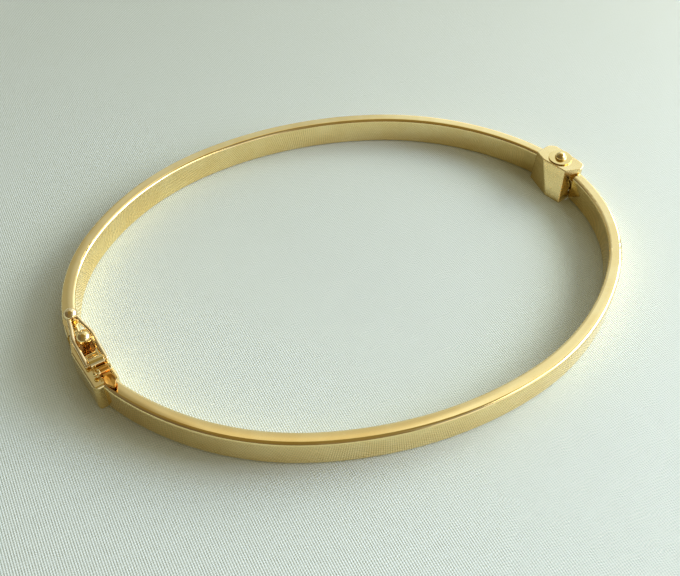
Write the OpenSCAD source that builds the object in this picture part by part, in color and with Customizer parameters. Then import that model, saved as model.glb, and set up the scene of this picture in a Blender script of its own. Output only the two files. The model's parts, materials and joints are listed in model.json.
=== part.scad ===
// Oval hinged bangle, lying on its side, with a box clasp, a thumb lever and a loop safety catch.
// Millimetres. The middle of the oval is the origin, the band rests on z = 0, the hinge is at +X.

/* [Band] */

// Half the width of the oval, to the middle of the band
half_width = 23.64; // [23:0.02:24.4]
// How much the shoulder's radius exceeds the end's
shoulder_gain = 11; // [10:0.5:12]
// How much the side's radius exceeds the shoulder's
side_gain = 11.5; // [10.5:0.5:12.5]
// Height of the band off the surface
band_height = 3.4; // [3.2:0.05:3.6]
// Thickness of the band, outside to inside
band_thick = 1.48; // [1.36:0.02:1.6]
// Radius of the slightly domed top, less the rounding of its edges
band_dome = 5; // [4.4:0.1:5.8]

/* [Hinge] */

// Place of the hinge pin round the end of the oval, in degrees
hinge_place = 18.6; // [16:0.2:21]
// Radius of the hinge pin
pin_r = 0.5; // [0.4:0.05:0.6]
// Radius of the domed pin head
pin_head_r = 0.69; // [0.6:0.01:0.8]
// Radius of the flat collar under the pin head
pin_collar_r = 1.42; // [1.1:0.02:1.5]
// Height of the hinge block
block_height = 3.9; // [3.8:0.05:4.1]
// Lean of the front part of the hinge block's inner wall, in degrees
block_lean = 17.3; // [14:0.1:18]

/* [Clasp] */

// Place of the clasp round the other end of the oval, in degrees
clasp_place = 16.8; // [15:0.1:18]
// Height of the clasp box
box_height = 3.45; // [3.4:0.05:3.6]
// Length of the tongue past the mouth of the box
tongue_length = 4.84; // [4.4:0.02:4.9]
// Thickness of the tongue
tongue_thick = 1; // [0.8:0.05:1.05]
// Radius of the round stud that the safety catch goes over
stud_r = 0.74; // [0.64:0.01:0.76]

/* [Safety catch] */

// Radius of the catch's wire
wire_r = 0.22; // [0.16:0.01:0.22]
// Radius of the ball on the catch's tip
tip_r = 0.74; // [0.6:0.01:0.76]
// Length of the catch, pivot to tip ball
catch_length = 6.76; // [6.6:0.02:7]

/* [Thumb lever] */

// Half the width of the thumb tab
tab_half = 0.6; // [0.5:0.02:0.66]
// Length of the thumb tab, from its round end's middle to its point's middle
tab_long = 0.75; // [0.6:0.05:1.05]
// Depth of the dish in the tab
tab_dish = 0.13; // [0.05:0.01:0.16]

/* [Output] */

// Piece to draw, or all

/* [Hidden] */

$fn = 72;
gold = [0.86, 0.66, 0.27];
gap = 0.05;
// Reach of the blocks that trim away everything past a face
trim = 12;

// The oval is three arcs to a quarter: end, shoulder and side, tangent where they meet.
// They meet at angles with sines 0.6 and 0.96, so every centre is a round number.
f1 = atan2(0.6, 0.8);
f2 = atan2(0.96, 0.28);
end_r = half_width - 0.4 * shoulder_gain - 0.04 * side_gain;
shoulder_r = end_r + shoulder_gain;
side_r = shoulder_r + side_gain;
end_x = 0.8 * shoulder_gain + 0.28 * side_gain;
shoulder_x = end_x - 0.8 * shoulder_gain;
shoulder_y = -0.6 * shoulder_gain;
side_y = shoulder_y - 0.96 * side_gain;

// The bands stop short of the hinge and the clasp by these angles, and are trimmed or joined there.
back_short = 5.4;
front_short = 8.8;
mouth_short = 8.7;
box_short = 10.9;

// The slightly domed top of the band meets the rounding of its edges at an angle of 4.35 degrees,
// whose sine and cosine are round numbers.
meet_sin = 0.07584;
meet_cos = 0.99712;
round_at = meet_sin * band_dome;
band_round = band_thick / 2 - round_at;
dome_r = band_dome + band_round;
dome_z = band_height - dome_r;
edge_z = dome_z + meet_cos * band_dome;

// Hinge frame: x toward the back half, y into the oval, pin at the origin.
pin_at = [end_x + end_r * cos(hinge_place), end_r * sin(hinge_place)];
block_front = -2.95;
block_back = 2.6;
block_out = -1.45;
block_in = 3.4;
corner_r = 1;
leaf_low = 1.22;
leaf_high = 2.68;
knuckle_r = 1.35;
knuckle_gap = 0.1;
arm_out = -0.4;
arm_in = 0.9;
arm_reach = 3.6;
arm_back = 0.6;
arm_room = 0.15;
band_front = -3.1;

// The block's inner wall is two faces that spread upward from one point on the ground,
// and its front end is a third face that slopes back. Each is a place, a turn and a lean.
wall_at = [-0.93, 2.72];
wall_back_turn = -17.9;
wall_back_lean = 4.2;
wall_front_turn = 6.5;
end_at = [-3.13, 2.1];
end_turn = 62;
end_lean = 18.5;

// Clasp frame: x from the back half toward the front half, y into the oval.
clasp_at = [-end_x - end_r * cos(clasp_place), -end_r * sin(clasp_place)];
clasp_turn = -90 + clasp_place - 1.23;
mouth = -3.3;
box_end = 4.4;
box_out = -1.05;
box_in = 1.65;
box_corner = 0.6;
box_round = 0.25;
box_end_round = 0.3;
// Toward the mouth the box narrows, down to the width of the band
taper_out = -0.3;
taper_long = 2.2;
// Room for the lever's hook
room_start = 0.35;
room_long = 3;
room_out = -0.8;
room_in = 1.15;
room_high = 2.85;
// Oval recess in the top
recess_floor = 2.9;
recess_r = 0.9;
recess_x = -2;
recess_y = 0.42;
recess_long = 1.35;

// The tongue is an arc about the hinge pin, so that it slides out cleanly.
mouth_y = 0.45;
mouth_at = clasp_at + [
  cos(clasp_turn) * mouth - sin(clasp_turn) * mouth_y,
  sin(clasp_turn) * mouth + cos(clasp_turn) * mouth_y
];
tongue_r = norm(mouth_at - pin_at);
tongue_from = atan2(mouth_at[1] - pin_at[1], mouth_at[0] - pin_at[0]);
mm_deg = 180 / (PI * tongue_r);
tongue_low = 0.85;
tongue_high = 2.45;
tongue_gap = 0.1;
tongue_root = 1.05;
step_long = 1.2;
step_z = 1.9;
notch_at = 0.9;
notch_long = 0.3;
notch_z = 1.6;

// Catch frame: pivot at the origin of x and y, tip toward -x.
catch_x = 1.65;
catch_y = 0.52;
catch_turn = -2.9;
catch_z = 3.75;
loop_half = stud_r + wire_r + 0.02;
tube_r = 0.62;
tube_half = loop_half - wire_r - gap;
loop_straight = 3.35;
loop_bend = 3;
loop_turn = 15.5;
loop_back = 19;
loop_return = 8;
tip_z = band_height + gap + tip_r;
catch_tilt = asin((tip_z - catch_z) / catch_length);
stud_x = -3.23;
stud_z = 4.1;
stud_neck_r = 0.36;
seat_r = 0.86;
seat_low = 0.7;
saddle_back = 0.9;
saddle_long = 1.65;
saddle_high = 0.34;
rest_x = -1.38;
rest_r = 0.2;
rest_half = 0.55;

// Lever pivot, in the clasp frame.
lever_x = 3.05;
lever_z = 3.88;
lever_r = 0.4;
lever_pin_r = 0.15;
lever_head_r = 0.24;
ear_out = 0;
ear_in = 1.2;
ear_thick = 0.2;
tab_x = 4.5;
tab_y = 0.62;
tab_low = 3.72;
tab_high = 4.1;
tab_tip = 0.2;
tab_lean = asin((tab_half - tab_tip) / tab_long);
hook_x = 0.6;
hook_z = 2.1;
hook_thick = 0.35;
hook_out = -0.2;
stem_half = 0.17;
stem_out = 0.3;
stem_wide = 0.75;

// Helpers

module at_hinge() translate([pin_at[0], pin_at[1], 0]) rotate([0, 0, 90 + hinge_place]) children();

module at_clasp() translate([clasp_at[0], clasp_at[1], 0]) rotate([0, 0, clasp_turn]) children();

module at_catch() at_clasp() translate([catch_x, catch_y, 0]) rotate([0, 0, catch_turn]) children();

// A rounded rectangle from one corner to the other
module round_rect(x0, y0, x1, y1, r) {
  translate([x0 + r, y0]) square([x1 - x0 - 2 * r, y1 - y0]);
  translate([x0, y0 + r]) square([x1 - x0, y1 - y0 - 2 * r]);
  for (x = [x0 + r, x1 - r])
    for (y = [y0 + r, y1 - r])
      translate([x, y]) circle(r);
}

// The band's section: flat sides and foot, rounded edges, and a domed top
module band_section() {
  translate([-round_at, 0]) square([2 * round_at, edge_z]);
  translate([-band_thick / 2, band_round]) square([band_thick, edge_z - band_round]);
  for (x = [-round_at, round_at])
    for (z = [band_round, edge_z])
      translate([x, z]) circle(band_round);
  intersection() {
    translate([0, dome_z]) circle(dome_r);
    translate([-meet_sin * dome_r, edge_z - band_round]) square([2 * meet_sin * dome_r, 1]);
  }
}

// One arc of the band about a centre: a ring cut off before one angle and past another
module arc(x, y, r, from, to) translate([x, y, 0]) difference() {
  rotate_extrude()
    translate([r, 0]) band_section();
  rotate([0, 0, from]) translate([-2 * r, -2 * r, -1]) cube([4 * r, 2 * r, band_height + 2]);
  rotate([0, 0, to]) translate([-2 * r, 0, -1]) cube([4 * r, 2 * r, band_height + 2]);
}

// A bar across y with round ends on x and z
module cross_bar(x, z, r, y0, y1)
  translate([x, y0, z]) rotate([-90, 0, 0]) cylinder(r = r, h = y1 - y0);

// Bands

module back_band() {
  arc(end_x, 0, end_r, hinge_place + back_short, f1);
  arc(shoulder_x, shoulder_y, shoulder_r, f1, f2);
  arc(0, side_y, side_r, f2, 180 - f2);
  arc(-shoulder_x, shoulder_y, shoulder_r, 180 - f2, 180 - f1);
  arc(-end_x, 0, end_r, 180 - f1, 180 + clasp_place - mouth_short);
}

module front_band() {
  arc(-end_x, 0, end_r, 180 + clasp_place + box_short, 180 + f1);
  arc(-shoulder_x, -shoulder_y, shoulder_r, 180 + f1, 180 + f2);
  arc(0, -side_y, side_r, 180 + f2, 360 - f2);
  arc(shoulder_x, -shoulder_y, shoulder_r, 360 - f2, 360 - f1);
  arc(end_x, 0, end_r, -f1, hinge_place - front_short);
}

// Everything beyond a face that starts at a place on the ground and leans back as it rises
module beyond(at, turn, lean)
  translate([at[0], at[1], 0])
    rotate([0, 0, turn])
      rotate([lean, 0, 0])
        translate([-trim, 0, -2])
          cube([2 * trim, trim / 2, trim]);

// Hinge block: two leaves joined by an inner wall, open on the outside for the arm to swing
module hinge_block() difference() {
  linear_extrude(block_height) round_rect(block_front, block_out, block_back, block_in, corner_r);
  beyond(wall_at, wall_back_turn, wall_back_lean);
  beyond(wall_at, wall_front_turn, block_lean);
  beyond(end_at, end_turn, end_lean);
  translate([0, 0, leaf_low]) linear_extrude(leaf_high - leaf_low) {
    circle(knuckle_r + knuckle_gap);
    translate([-trim, -trim]) square([trim + arm_back, trim + arm_in + arm_room]);
  }
  translate([0, 0, -1]) cylinder(r = pin_r + 0.03, h = block_height + 2);
}

// A stretch of the tongue's arc about the hinge pin, between two lengths past the mouth
module tongue_arc(thick, low, high, from, to)
  translate([pin_at[0], pin_at[1], 0])
    rotate([0, 0, tongue_from + from * mm_deg])
      rotate_extrude(angle = (to - from) * mm_deg)
        translate([tongue_r - thick / 2, low])
          square([thick, high - low]);

// Tongue: stepped down at its end, under the hook of the lever
module tongue() difference() {
  tongue_arc(tongue_thick, tongue_low, tongue_high, -tongue_root, tongue_length);
  at_clasp() {
    translate([mouth + tongue_length - step_long, -3, step_z]) cube([4, 6, 2]);
    translate([mouth + tongue_length - notch_at, -3, notch_z]) cube([notch_long, 6, 2]);
  }
}

// Seat for the catch's tip: a low lobe on the outer edge of the band
module catch_seat()
  at_catch()
    translate([0.05 - catch_length, -0.15, band_height - seat_low])
      cylinder(r = seat_r, h = seat_low - gap / 2);

module back_half() color(gold) {
  difference() {
    union() {
      back_band();
      catch_seat();
    }
    at_clasp() translate([mouth - 0.1, -trim / 2, -1]) cube([trim, trim, trim]);
    at_catch() translate([-catch_length, 0, tip_z]) sphere(tip_r + 2 * gap);
  }
  at_hinge() hinge_block();
  tongue();
}

// Hinge pin: shaft, flat collar and domed head

module hinge_pin() color(gold) at_hinge() {
  translate([0, 0, gap]) cylinder(r = pin_r, h = block_height);
  translate([0, 0, block_height + 0.03]) cylinder(r = pin_collar_r, h = 0.13);
  difference() {
    translate([0, 0, block_height + 0.14]) sphere(pin_head_r);
    translate([-2, -2, block_height - 1.9]) cube([4, 4, 2]);
  }
}

// Clasp box

// A long block with rounded edges, whose outer side runs along x
module rounded_along(y0, y1, r)
  translate([-trim, 0, 0])
    rotate([90, 0, 90])
      linear_extrude(2 * trim)
        round_rect(y0, 0, y1, box_height, r);

module box_body() intersection() {
  linear_extrude(box_height) round_rect(mouth, box_out, box_end, box_in, box_corner);
  rounded_along(box_out, box_in, box_round);
  rotate([0, 0, -90]) rounded_along(mouth - 2, box_end, box_end_round);
  translate([mouth, taper_out, 0])
    rotate([0, 0, -atan2(taper_out - box_out, taper_long)])
      rounded_along(0, trim, box_round);
}

// Room for the hook, the slot that its arm drops through, and the oval recess
module box_cuts() {
  translate([room_start, room_out, tongue_low - tongue_gap])
    cube([room_long, room_in - room_out, room_high - tongue_low + tongue_gap]);
  translate([lever_x - stem_half - 0.26, stem_out - 0.08, 2.7]) cube([0.68, stem_wide + 0.16, 1]);
  translate([recess_x, recess_y, recess_floor]) linear_extrude(2) {
    circle(recess_r);
    translate([0, -recess_r]) square([recess_long, 2 * recess_r]);
    translate([recess_long, 0]) circle(recess_r);
  }
}

module clasp_box() difference() {
  at_clasp() difference() {
    box_body();
    box_cuts();
  }
  tongue_arc(tongue_thick + 2 * tongue_gap, tongue_low - tongue_gap, tongue_high + tongue_gap, -1, 5.3);
}

// Stud with the round head, in the recess
module stud() at_catch() {
  translate([stud_x, 0, recess_floor - 0.2]) cylinder(r = stud_neck_r, h = 1.3);
  translate([stud_x, 0, stud_z]) sphere(stud_r);
}

// Tube that the catch turns in, on its saddle, and the rounded bar at the end of the recess
module catch_tube() at_catch() {
  difference() {
    union() {
      cross_bar(0, catch_z, tube_r, -tube_half, tube_half);
      translate([-saddle_back, -tube_half + 0.06, box_height - 0.2])
        cube([saddle_long, 2 * tube_half - 0.12, saddle_high]);
    }
    cross_bar(0, catch_z, wire_r + gap, -2, 2);
    translate([-1, -2, 2]) cube([2, 4, box_height - 2.4]);
  }
  cross_bar(rest_x, box_height, rest_r, -rest_half, rest_half);
}

module ear(y) difference() {
  union() {
    cross_bar(lever_x, lever_z, lever_r, y, y + ear_thick);
    translate([lever_x - 0.3, y, box_height - 0.2])
      cube([0.7, ear_thick, lever_z - box_height + 0.1]);
  }
  cross_bar(lever_x, lever_z, lever_pin_r + 0.02, y - 1, y + 1);
}

// Knuckle and arm of the hinge
module knuckle() at_hinge() difference() {
  union() {
    translate([0, 0, leaf_low + gap]) cylinder(r = knuckle_r, h = leaf_high - leaf_low - 2 * gap);
    translate([-arm_reach, arm_out, leaf_low + gap])
      cube([arm_reach, arm_in - arm_out, leaf_high - leaf_low - 2 * gap]);
  }
  cylinder(r = pin_r + gap, h = block_height);
}

module front_half() color(gold) {
  difference() {
    front_band();
    at_hinge() translate([band_front, -trim / 2, -1]) cube([trim, trim, trim]);
  }
  knuckle();
  clasp_box();
  at_clasp() {
    ear(ear_out);
    ear(ear_in);
  }
  stud();
  catch_tube();
}

// Safety catch: a wire loop narrowing to a ball

// One side of the loop: straight past the stud, a bend inward, and a slow bend back to the tip
module loop_side() {
  translate([0, loop_half, 0]) {
    sphere(wire_r + 0.01);
    rotate([0, -90, 0]) cylinder(r = wire_r, h = loop_straight);
    translate([-loop_straight, 0, 0]) sphere(wire_r + 0.006);
    translate([-loop_straight, -loop_bend, 0])
      rotate([0, 0, 90])
        rotate_extrude(angle = loop_turn)
          translate([loop_bend, 0])
            circle(wire_r);
    translate([-loop_straight - loop_bend * sin(loop_turn), loop_bend * (cos(loop_turn) - 1), 0]) {
      sphere(wire_r + 0.006);
      rotate([0, 0, loop_turn])
        translate([0, loop_back, 0])
          rotate([0, 0, -90 - loop_return])
            rotate_extrude(angle = loop_return)
              translate([loop_back, 0])
                circle(wire_r);
    }
  }
}

module safety_catch() color(gold) at_catch() translate([0, 0, catch_z]) rotate([0, catch_tilt, 0]) {
  loop_side();
  mirror([0, 1, 0]) loop_side();
  translate([0, -loop_half, 0]) rotate([-90, 0, 0]) cylinder(r = wire_r - 0.02, h = 2 * loop_half);
  translate([-catch_length, 0, 0]) sphere(tip_r);
}

// Thumb lever: barrel, dished tab, and the hook that reaches over the tongue

// A point on the rim of one of the tab's two circles, where the straight sides touch it
function rim(x, r, side) = [x + r * sin(tab_lean), side * r * cos(tab_lean)];

module tab_plan() {
  circle(tab_half);
  translate([tab_long, 0]) circle(tab_tip);
  polygon([
    rim(0, tab_half, 1),
    rim(tab_long, tab_tip, 1),
    rim(tab_long, tab_tip, -1),
    rim(0, tab_half, -1)
  ]);
}

// A ring whose round bottom leaves the dish in the tab
module tab_hollow()
  translate([tab_x + 0.18, tab_y, tab_high + 3.4 - tab_dish])
    rotate([90, 0, 0])
      rotate_extrude()
        translate([2.4, 0])
          circle(1);

module clasp_lever() color(gold) at_clasp() {
  difference() {
    union() {
      cross_bar(lever_x, lever_z, lever_r, ear_out + ear_thick + gap, ear_in - gap);
      translate([lever_x - stem_half, stem_out, hook_z])
        cube([2 * stem_half, stem_wide, lever_z - hook_z]);
      translate([lever_x, stem_out, tab_low]) cube([tab_x - lever_x, stem_wide, 0.2]);
    }
    cross_bar(lever_x, lever_z, lever_pin_r + 0.04, -1, 2);
  }
  translate([hook_x, hook_out, hook_z])
    cube([lever_x + stem_half - hook_x, stem_out + stem_wide - hook_out, hook_thick]);
  translate([hook_x, hook_out, step_z + 0.06]) cube([0.3, 0.6, 0.3]);
  difference() {
    translate([tab_x, tab_y, tab_low]) linear_extrude(tab_high - tab_low) tab_plan();
    tab_hollow();
  }
}

module lever_pin() color(gold) at_clasp() {
  cross_bar(lever_x, lever_z, lever_pin_r, ear_out - 0.2, ear_in + ear_thick + 0.04);
  translate([lever_x, ear_out - lever_head_r - 0.03, lever_z]) sphere(lever_head_r);
}

back_half();
hinge_pin();
front_half();
safety_catch();
clasp_lever();
lever_pin();
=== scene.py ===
"""Looks of an oval gold bangle that lies on its side on a pale cloth."""

import json
import math

import bpy
from mathutils import Matrix, Vector


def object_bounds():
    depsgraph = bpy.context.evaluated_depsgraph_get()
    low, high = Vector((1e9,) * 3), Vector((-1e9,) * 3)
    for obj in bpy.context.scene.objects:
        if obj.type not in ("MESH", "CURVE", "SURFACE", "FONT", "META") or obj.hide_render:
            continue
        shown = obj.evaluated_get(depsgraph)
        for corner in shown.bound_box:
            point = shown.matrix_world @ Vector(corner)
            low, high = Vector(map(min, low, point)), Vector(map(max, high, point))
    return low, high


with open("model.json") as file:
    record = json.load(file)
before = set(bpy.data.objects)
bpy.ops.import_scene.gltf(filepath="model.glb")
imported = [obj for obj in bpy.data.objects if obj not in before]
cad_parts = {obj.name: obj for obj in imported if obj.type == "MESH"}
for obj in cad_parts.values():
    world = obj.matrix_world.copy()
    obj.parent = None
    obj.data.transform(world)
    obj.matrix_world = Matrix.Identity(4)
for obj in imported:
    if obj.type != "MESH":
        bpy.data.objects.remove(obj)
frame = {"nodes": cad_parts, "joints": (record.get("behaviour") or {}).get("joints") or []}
cad_low, cad_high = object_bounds()

MM = 0.001

# Camera

# Its lens and sensor in millimetres, and where it stands from the middle of the oval
CAMERA_LENS = 45.77
CAMERA_SENSOR = 36
CAMERA_PLACE = (-1.10 * MM, -68.42 * MM, 71.11 * MM)

# How far it looks down, its roll, and the oval's turn in the picture, in radians
CAMERA_DROP = 0.8252
CAMERA_ROLL = 0.0179
OVAL_TURN = 0.3598


def in_picture(point):
    """A point or direction given across, into and up the picture, in the frame."""
    return Matrix.Rotation(-OVAL_TURN, 3, "Z") @ Vector(point)


def make_camera():
    data = bpy.data.cameras.new("camera")
    data.lens = CAMERA_LENS
    data.sensor_width = CAMERA_SENSOR
    data.sensor_fit = "HORIZONTAL"
    data.clip_start = 5 * MM
    data.clip_end = 20
    back = Vector((0, -math.cos(CAMERA_DROP), math.sin(CAMERA_DROP)))
    level = Vector((1, 0, 0))
    upright = back.cross(level)
    right = level * math.cos(CAMERA_ROLL) + upright * math.sin(CAMERA_ROLL)
    up = back.cross(right)
    held = Matrix((in_picture(right), in_picture(up), in_picture(back))).transposed()
    camera = bpy.data.objects.new("camera", data)
    camera.matrix_world = Matrix.Translation(in_picture(CAMERA_PLACE)) @ held.to_4x4()
    bpy.context.scene.collection.objects.link(camera)
    bpy.context.scene.camera = camera


# Studio

def soft_box(name, compass, height, far, width, tall, power, colour):
    """A soft box that faces the oval from a compass angle from the right of the picture
    and a height above the surface, both in degrees, and so far away, in metres."""
    turn, rise = math.radians(compass), math.radians(height)
    level = math.cos(rise)
    out = Vector((math.cos(turn) * level, math.sin(turn) * level, math.sin(rise)))
    place = in_picture(out * far)
    data = bpy.data.lights.new(name, "AREA")
    data.shape = "RECTANGLE"
    data.size = width
    data.size_y = tall
    data.energy = power
    data.color = colour
    lamp = bpy.data.objects.new(name, data)
    lamp.location = place
    lamp.rotation_mode = "QUATERNION"
    lamp.rotation_quaternion = place.to_track_quat("Z", "Y")
    lamp.visible_camera = False
    bpy.context.scene.collection.objects.link(lamp)


# Soft boxes near the bangle: compass angle and height in degrees, distance, width and height of
# the box in metres, power in watts, then its colour
LAMPS = {
    "window_light": (21, 28, 0.60, 0.46, 0.22, 2.0, (0.87, 1.00, 1.04)),
    "cool_window": (0, 20, 0.22, 0.10, 0.07, 0.13, (0.85, 0.92, 1.35)),
    "warm_window": (35, 20, 0.22, 0.10, 0.07, 0.13, (1.10, 0.97, 0.76)),
    "near_light": (-20, 34, 0.15, 0.05, 0.05, 0.024, (1.05, 1.0, 0.75)),
}


def make_studio():
    """The soft boxes, all on the side that the light comes from in the picture."""
    for name, facts in LAMPS.items():
        soft_box(name, *facts)


# Shader maths

class Wire:
    """An output of a node. Sums on it add the nodes that work them out."""

    def __init__(self, board, socket):
        self.board = board
        self.socket = socket

    def __add__(self, other):
        return self.board.sum("ADD", self, other)

    def __radd__(self, other):
        return self.board.sum("ADD", other, self)

    def __sub__(self, other):
        return self.board.sum("SUBTRACT", self, other)

    def __rsub__(self, other):
        return self.board.sum("SUBTRACT", other, self)

    def __mul__(self, other):
        return self.board.sum("MULTIPLY", self, other)

    def __rmul__(self, other):
        return self.board.sum("MULTIPLY", other, self)


class Board:
    """The nodes of one material, or of the air round the bangle."""

    def __init__(self, owner):
        self.owner = owner
        owner.use_nodes = True
        self.nodes = owner.node_tree.nodes
        self.links = owner.node_tree.links
        self.nodes.clear()

    def add(self, kind, settings=None, inputs=None, out=0):
        node = self.nodes.new(kind)
        for key, value in (settings or {}).items():
            setattr(node, key, value)
        for key, value in (inputs or {}).items():
            if isinstance(value, Wire):
                self.links.new(value.socket, node.inputs[key])
            else:
                node.inputs[key].default_value = value
        return None if out is None else Wire(self, node.outputs[out])

    def sum(self, operation, *parts):
        """A number that a Math node works out from others."""
        return self.add("ShaderNodeMath", {"operation": operation}, dict(enumerate(parts)))

    def place(self):
        """Where a point is on the object at rest, in millimetres."""
        spot = self.add("ShaderNodeTexCoord", out="Object")
        return self.vector("SCALE", spot, Scale=1 / MM)

    def vector(self, operation, first, second=None, **more):
        parts = {0: first}
        if second is not None:
            parts[1] = second
        parts.update(more)
        out = "Value" if operation in ("DOT_PRODUCT", "LENGTH") else 0
        return self.add("ShaderNodeVectorMath", {"operation": operation}, parts, out)

    def pack(self, x, y, z):
        return self.add("ShaderNodeCombineXYZ", inputs={0: x, 1: y, 2: z})

    def blur_step(self, value, low, high):
        """0 below low, 1 above high, and a smooth rise between."""
        return self.add(
            "ShaderNodeMapRange",
            {"interpolation_type": "SMOOTHSTEP"},
            {"Value": value, "From Min": low, "From Max": high},
        )

    def between(self, value, low, high, soft):
        """1 from low to high, fading to 0 over soft on either side."""
        return self.blur_step(value, low - soft, low + soft) * (
            1 - self.blur_step(value, high - soft, high + soft)
        )

    def mix(self, share, first, second):
        """A colour that goes from the first to the second as share goes from 0 to 1."""
        return self.add(
            "ShaderNodeMix", {"data_type": "RGBA"}, {0: share, 6: first, 7: second}, out=2
        )

    def blend(self, share, first, second):
        """A direction that goes from the first to the second as share goes from 0 to 1."""
        mixed = self.add(
            "ShaderNodeMix", {"data_type": "VECTOR"}, {0: share, 4: first, 5: second}, out=1
        )
        return self.vector("NORMALIZE", mixed)

    def noise(self, place, scale, detail=3, rough=0.55, **more):
        return self.add(
            "ShaderNodeTexNoise",
            {"noise_dimensions": "4D"} if "W" in more else None,
            {"Vector": place, "Scale": scale, "Detail": detail, "Roughness": rough, **more},
        )

    def soft_edges(self, radius):
        """The surface's direction with its edges rounded off by a radius in millimetres."""
        return self.add("ShaderNodeBevel", {"samples": BEVEL_SAMPLES}, {"Radius": radius * MM})

    def bump(self, height, depth, under=None):
        """Relief of a height from 0 to 1, so many millimetres deep, over the relief under it."""
        inputs = {"Strength": 1.0, "Distance": depth * MM, "Height": height}
        if under is not None:
            inputs["Normal"] = under
        return self.add("ShaderNodeBump", inputs=inputs)

    def finish(self, fixed, varying):
        """The shader: fixed numbers and colours on its own sockets, and what varies linked."""
        shader = self.add("ShaderNodeBsdfPrincipled", inputs={**fixed, **varying})
        self.add("ShaderNodeOutputMaterial", inputs={0: shader}, out=None)
        return self.owner


# Metal

# Half the length and width of the oval's middle line, the radius of a circle in its place, and
# the height of the band, in millimetres
HALF_LENGTH = 30.8
HALF_WIDTH = 23.64
CIRCLE_RADIUS = 27.0
BAND_HEIGHT = 3.4

# How fast the buff's hairlines vary: once round the oval, and across the band per millimetre
LINES_ROUND = 3.2
LINES_ACROSS = 7.0

# How much faster the stray scratches vary along each axis
STRAY_STRETCH = (0.6, 2.4, 1.1)

# Depths of the relief in the metal, in millimetres
WAVE_DEPTH = 0.012
LINE_DEPTH = 0.0004
STRAY_DEPTH = 0.0005

# What the relief and the wear add to the roughness
STRAY_ROUGH = 0.05
LINE_ROUGH = 0.04
STAIN_ROUGH = 0.22
BUFFED_ROUGH = 0.09

# The most that the pale gold covers
PALE_SHARE = 0.45

# A worn part: the radius that the buff left on its edges, and the deeper gold painted as shade on
# its sides below the top leaf, with the height up to which it goes and its fade, in millimetres
BUFFED_EDGE = 0.22
SIDES_SHADE_COLOUR = (0.76, 0.59, 0.27, 1)
SIDES_SHADE_SHARE = 0.6
SIDES_SHADE_TO = BAND_HEIGHT - 0.5
SIDES_SHADE_FADE = 0.3

BEVEL_SAMPLES = 6


def joint(name):
    return next(j for j in frame["joints"] if j["name"] == name)


def along_and_across(board, place, pivot, across):
    """How far a point is from the upright plane through a joint's axis, and how far it is from
    the joint's pivot along that axis."""
    along = Vector(across).cross(Vector((0, 0, 1)))
    from_pivot = board.vector("SUBTRACT", place, tuple(Vector(pivot) / MM))
    return (
        board.vector("DOT_PRODUCT", from_pivot, tuple(along)),
        board.vector("DOT_PRODUCT", from_pivot, tuple(across)),
    )


def round_the_oval(board, place):
    """The way from the middle to a point and how far out it is, in millimetres, both as on a
    circle that the oval is squeezed to, so that the two follow the band all round."""
    flat = board.vector("MULTIPLY", place, (1 / HALF_LENGTH, 1 / HALF_WIDTH, 0))
    level = board.vector("LENGTH", flat)
    way = board.vector("NORMALIZE", flat)
    return way, level * CIRCLE_RADIUS


def polished_gold(
    name, colour, deep, pale, shine, polish_lines=1.0, soft_edge=0.05, stain_and_shade=None, worn_and_shaded=None
):
    """Hand-polished gold: hairlines left along the band by the buff, short stray scratches,
    a slow wave in the polish, and a tone that wanders between a deep and a pale gold.
    A stain laid over it is part tarnish and part painted shade. A worn part has its edges rounded
    further by the buff, and its sides below the top leaf get a deeper gold as painted shade."""
    board = Board(bpy.data.materials.new(name))
    place = board.place()
    way, out = round_the_oval(board, place)
    height = board.add("ShaderNodeSeparateXYZ", inputs={0: place}, out=2)

    # The buff's hairlines run round the oval, so they vary across it and barely along it
    ring = board.vector("SCALE", way, Scale=LINES_ROUND)
    line_place = board.vector("ADD", ring, board.pack(0, 0, height * LINES_ACROSS))
    hairlines = board.noise(line_place, 1.0, detail=2, rough=0.6, W=out * LINES_ACROSS)
    stray_place = board.vector("MULTIPLY", place, STRAY_STRETCH)
    strays = board.noise(stray_place, 1.9, detail=4, rough=0.62)
    wave = board.noise(place, 0.16, detail=1, rough=0.4)
    cloud = board.noise(place, 0.34)
    rubs = board.noise(place, 2.6, detail=4, rough=0.62)

    tone = board.mix(board.blur_step(cloud, 0.34, 0.68), deep, colour)
    tone = board.mix(board.blur_step(rubs, 0.55, 0.78) * PALE_SHARE, tone, pale)
    roughness = (
        shine
        + board.blur_step(strays, 0.45, 0.75) * STRAY_ROUGH
        + board.blur_step(hairlines, 0.5, 0.8) * LINE_ROUGH * polish_lines
    )
    if stain_and_shade is not None:
        share, stain_and_shade_colour = stain_and_shade(board, place, height)
        # Part tarnish and part painted shade: the recess is tinted darker and warmer where shade
        # and reflections fall
        tone = board.mix(share, tone, stain_and_shade_colour)
        roughness = roughness + share * STAIN_ROUGH

    rounded = board.soft_edges(soft_edge)
    if worn_and_shaded is not None:
        share = worn_and_shaded(board, place)
        rounded = board.blend(share, rounded, board.soft_edges(BUFFED_EDGE))
        roughness = roughness + share * BUFFED_ROUGH
        # Painted shade: the hinge block's sides below the top leaf are tinted a deeper gold
        shaded_sides = share * (1 - board.blur_step(height, SIDES_SHADE_TO, SIDES_SHADE_TO + SIDES_SHADE_FADE))
        tone = board.mix(shaded_sides * SIDES_SHADE_SHARE, tone, SIDES_SHADE_COLOUR)
    relief = board.bump(wave, WAVE_DEPTH, rounded)
    relief = board.bump(hairlines, LINE_DEPTH * polish_lines, relief)
    relief = board.bump(strays, STRAY_DEPTH, relief)
    return board.finish(
        {"Metallic": 1.0, "IOR": 1.45},
        {"Base Color": tone, "Roughness": roughness, "Normal": relief},
    )


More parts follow.
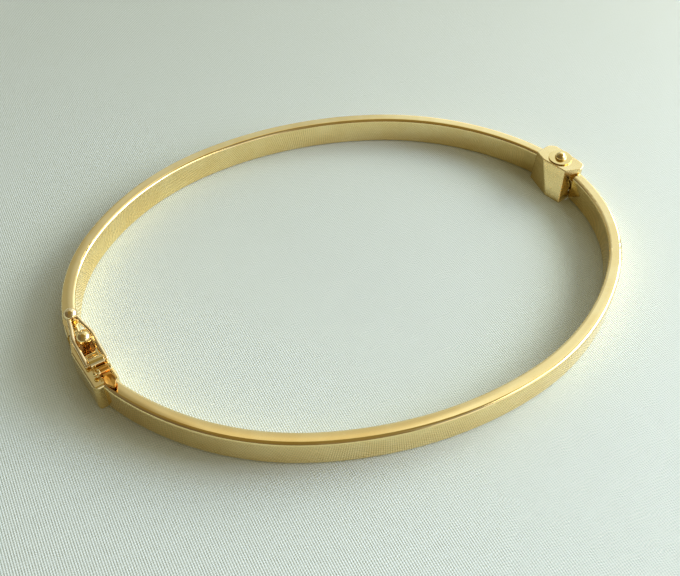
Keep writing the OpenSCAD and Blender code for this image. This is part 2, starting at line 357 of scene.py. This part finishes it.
# The tarnish and painted shade in the recess of the clasp box, in millimetres: where it lies
# along the box from the catch's pivot, half its width, the height up to which it goes, and how
# softly each of them ends
CAVE_FROM = -4.7
CAVE_TO = -0.7
CAVE_END_FADE = 0.15
CAVE_HALF = 0.95
CAVE_SIDE_FADE = 0.12
CAVE_TOP = 3.35
CAVE_TOP_FADE = 0.35
CAVE_SHARE = 0.9
CAVE_COLOUR = (0.42, 0.19, 0.05, 1)


def cave_tarnish_and_shade(board, place, height):
    """The recess of the clasp box holds an orange-brown tarnish that polishing can't reach,
    deepened with painted shade and painted warm reflection.
    """
    catch = joint("catch_swing")
    along, across = along_and_across(board, place, catch["pos_m"], catch["axis"])
    inside = (
        board.between(along, CAVE_FROM, CAVE_TO, CAVE_END_FADE)
        * board.between(across, -CAVE_HALF, CAVE_HALF, CAVE_SIDE_FADE)
        * (1 - board.blur_step(height, CAVE_TOP - CAVE_TOP_FADE, CAVE_TOP))
    )
    return inside * CAVE_SHARE, CAVE_COLOUR


# How far the hinge block reaches from its pin, and how softly its wear and painted shade end, in
# millimetres
BLOCK_REACH = 4.6
BLOCK_FADE = 0.4


def hinge_block(board, place):
    """1 on the hinge block, whose edges the buff has rounded most and whose sides get painted
    shade, and 0 away from it.
    """
    pivot = tuple(Vector(joint("bangle_hinge")["pos_m"]) / MM)
    flat = board.vector("MULTIPLY", board.vector("SUBTRACT", place, pivot), (1, 1, 0))
    away = board.vector("LENGTH", flat)
    return 1 - board.blur_step(away, BLOCK_REACH - BLOCK_FADE, BLOCK_REACH + BLOCK_FADE)


def dress_metal():
    nodes = frame["nodes"]
    band = polished_gold(
        "polished_band_gold",
        (0.97, 0.775, 0.385, 1), (0.93, 0.715, 0.33, 1), (0.98, 0.82, 0.47, 1),
        0.05, soft_edge=0.04, stain_and_shade=cave_tarnish_and_shade, worn_and_shaded=hinge_block,
    )
    pin = polished_gold(
        "hinge_pin_gold",
        (0.94, 0.74, 0.34, 1), (0.86, 0.65, 0.27, 1), (0.97, 0.82, 0.46, 1), 0.06,
        polish_lines=0.4, soft_edge=0.03,
    )
    wire = polished_gold(
        "drawn_wire_gold",
        (0.97, 0.79, 0.47, 1), (0.92, 0.71, 0.38, 1), (0.98, 0.85, 0.58, 1), 0.03,
        polish_lines=0.3, soft_edge=0.02,
    )
    lever = polished_gold(
        "copper_gold",
        (0.91, 0.52, 0.13, 1), (0.76, 0.34, 0.05, 1), (0.98, 0.70, 0.28, 1), 0.08,
        polish_lines=0.5, soft_edge=0.03,
    )
    for node, material, slot in (
        ("back_half", band, "gold_band"),
        ("front_half", band, "gold_band"),
        ("hinge_pin", pin, "gold_pin"),
        ("lever_pin", pin, "gold_pin"),
        ("safety_catch", wire, "gold_catch"),
        ("clasp_lever", lever, "copper_gold_lever"),
    ):
        nodes[node].data.materials.clear()
        nodes[node].data.materials.append(material)


# Cloth that the bangle lies on

# The cloth's side in metres, the spacing of its threads and how far they wander in millimetres,
# the turn of the weave in radians, and the depth of its relief in millimetres
CLOTH_SPAN = 6.0
THREAD = 0.33
THREAD_WANDER = 0.9
WEAVE_TURN = 0.92
WEAVE_DEPTH = 0.05

# How strongly the threads stand out, and the share of fuzz in the relief
WEAVE_CONTRAST = 1.1
FUZZ_SHARE = 0.3

# The cloth's tones: two at the back of the picture, one at its front, and the threads' own; the
# change from the dark back to the pale front is painted light
BACK_SHADED_TONE = (0.42, 0.485, 0.405, 1)
BACK_SHADED_PALE = (0.46, 0.51, 0.44, 1)
FRONT_LIT_TONE = (0.69, 0.80, 0.775, 1)
THREAD_TONE = (0.89, 0.94, 0.91, 1)
THREAD_SHARE = 0.75

# The way to the front of the picture, and from where to where the painted light changes the tone
# along it, in millimetres from the middle of the oval
FRONT_WAY = (0.25, -0.97, 0)
FRONT_FROM = -85
FRONT_TO = 55


def make_cloth():
    """Finely woven cloth: two sets of uneven threads, with painted light that makes it paler and
    cooler toward the front of the picture."""
    bpy.ops.mesh.primitive_plane_add(size=CLOTH_SPAN, location=(0, 0, cad_low.z))
    floor = bpy.context.object
    floor.name = "cloth"
    board = Board(bpy.data.materials.new("pale_cloth"))
    place = board.place()
    wander = board.noise(place, 0.35)
    threads = []
    for turn in (WEAVE_TURN, WEAVE_TURN + math.pi / 2):
        along = board.vector("DOT_PRODUCT", place, (math.cos(turn), math.sin(turn), 0))
        turns = (along + wander * THREAD_WANDER) * (2 * math.pi / THREAD)
        threads.append(board.sum("SINE", turns))
    uneven = board.noise(place, 1.3, rough=0.7)
    weave = threads[0] * threads[1] * uneven * WEAVE_CONTRAST + 0.5
    cloud = board.noise(place, 0.05)
    fuzz = board.noise(place, 3.2, rough=0.6)
    forward = board.vector("DOT_PRODUCT", place, tuple(in_picture(FRONT_WAY)))
    tone = board.mix(cloud, BACK_SHADED_TONE, BACK_SHADED_PALE)
    # Painted light: the cloth is darker at the back and paler and cooler at the front
    tone = board.mix(board.blur_step(forward, FRONT_FROM, FRONT_TO), tone, FRONT_LIT_TONE)
    tone = board.mix(weave * THREAD_SHARE, tone, THREAD_TONE)
    relief = board.bump(weave * (1 - FUZZ_SHARE) + fuzz * FUZZ_SHARE, WEAVE_DEPTH)
    floor.data.materials.append(
        board.finish(
            {"Roughness": 0.85, "IOR": 1.4, "Specular IOR Level": 0.25},
            {"Base Color": tone, "Normal": relief},
        )
    )


# Walls of light round the bangle: compass angle of the middle from the right of the picture,
# half its width, lowest and highest angle above the surface, softness of its edges, all in
# degrees, then its colour
AIR = {
    "ceiling_right": (20, 90, 56, 120, 8, (0.27, 0.22, 0.09)),
    "ceiling_left": (200, 90, 56, 120, 8, (0.24, 0.18, 0.06)),
    "far_front_window": (-40, 14, -20, 24, 6, (1.06, 1.09, 1.14)),
    "far_front_blind": (-40, 14, 24, 56, 6, (0.33, 0.34, 0.34)),
    "front_window": (-12, 14, -20, 24, 6, (1.36, 1.45, 1.56)),
    "front_blind": (-12, 14, 24, 56, 6, (0.62, 0.63, 0.60)),
    "right_window": (16, 14, -20, 24, 6, (1.45, 1.54, 1.76)),
    "right_blind": (16, 14, 24, 60, 6, (0.80, 0.84, 0.82)),
    "back_window": (44, 14, -20, 24, 6, (1.86, 1.98, 2.19)),
    "back_blind": (44, 14, 24, 64, 6, (0.88, 0.90, 0.76)),
    "far_back_window": (72, 14, -20, 24, 6, (1.55, 1.65, 1.74)),
    "far_back_blind": (72, 14, 24, 44, 6, (0.93, 1.02, 1.04)),
    "far_back_blind_top": (65, 12, 44, 66, 6, (0.93, 1.00, 0.98)),
    "back_wall": (100, 14, -20, 44, 6, (0.60, 0.64, 0.62)),
    "back_wall_top": (95, 18, 44, 66, 6, (0.60, 0.59, 0.50)),
    "back_left_wall": (135, 21, -20, 56, 6, (0.38, 0.37, 0.28)),
    "left_wall": (178, 22, -20, 56, 6, (0.17, 0.15, 0.11)),
    "front_left_wall": (218, 18, -20, 56, 6, (0.15, 0.12, 0.08)),
    "front_wall": (255, 19, -20, 56, 6, (0.20, 0.16, 0.08)),
    "front_right_wall": (290, 16, -20, 56, 6, (0.24, 0.20, 0.12)),
}


def make_air(walls):
    """Soft light from all round, brightest from the window on the right."""
    board = Board(bpy.data.worlds.new("studio_air"))
    way = board.add("ShaderNodeTexCoord", out="Generated")
    rise = board.vector("DOT_PRODUCT", way, (0, 0, 1))
    height = board.sum("ARCSINE", rise) * math.degrees(1)
    light = None
    for compass, half, low, high, soft, colour in walls.values():
        turn = math.radians(compass)
        ahead = board.vector("DOT_PRODUCT", way, in_picture((math.cos(turn), math.sin(turn), 0)))
        aside = board.vector("DOT_PRODUCT", way, in_picture((-math.sin(turn), math.cos(turn), 0)))
        off = board.sum("ARCTAN2", aside, ahead) * math.degrees(1)
        off = board.sum("ABSOLUTE", off)
        share = board.between(height, low, high, soft)
        share = share * (1 - board.blur_step(off, half - soft, half + soft))
        part = board.vector("SCALE", colour, Scale=share)
        light = part if light is None else board.vector("ADD", light, part)
    air = board.add("ShaderNodeBackground", inputs={0: light})
    board.add("ShaderNodeOutputWorld", inputs={0: air}, out=None)
    bpy.context.scene.world = board.owner


make_camera()
make_studio()
make_air(AIR)
make_cloth()
dress_metal()
bpy.context.scene.view_settings.view_transform = "Standard"
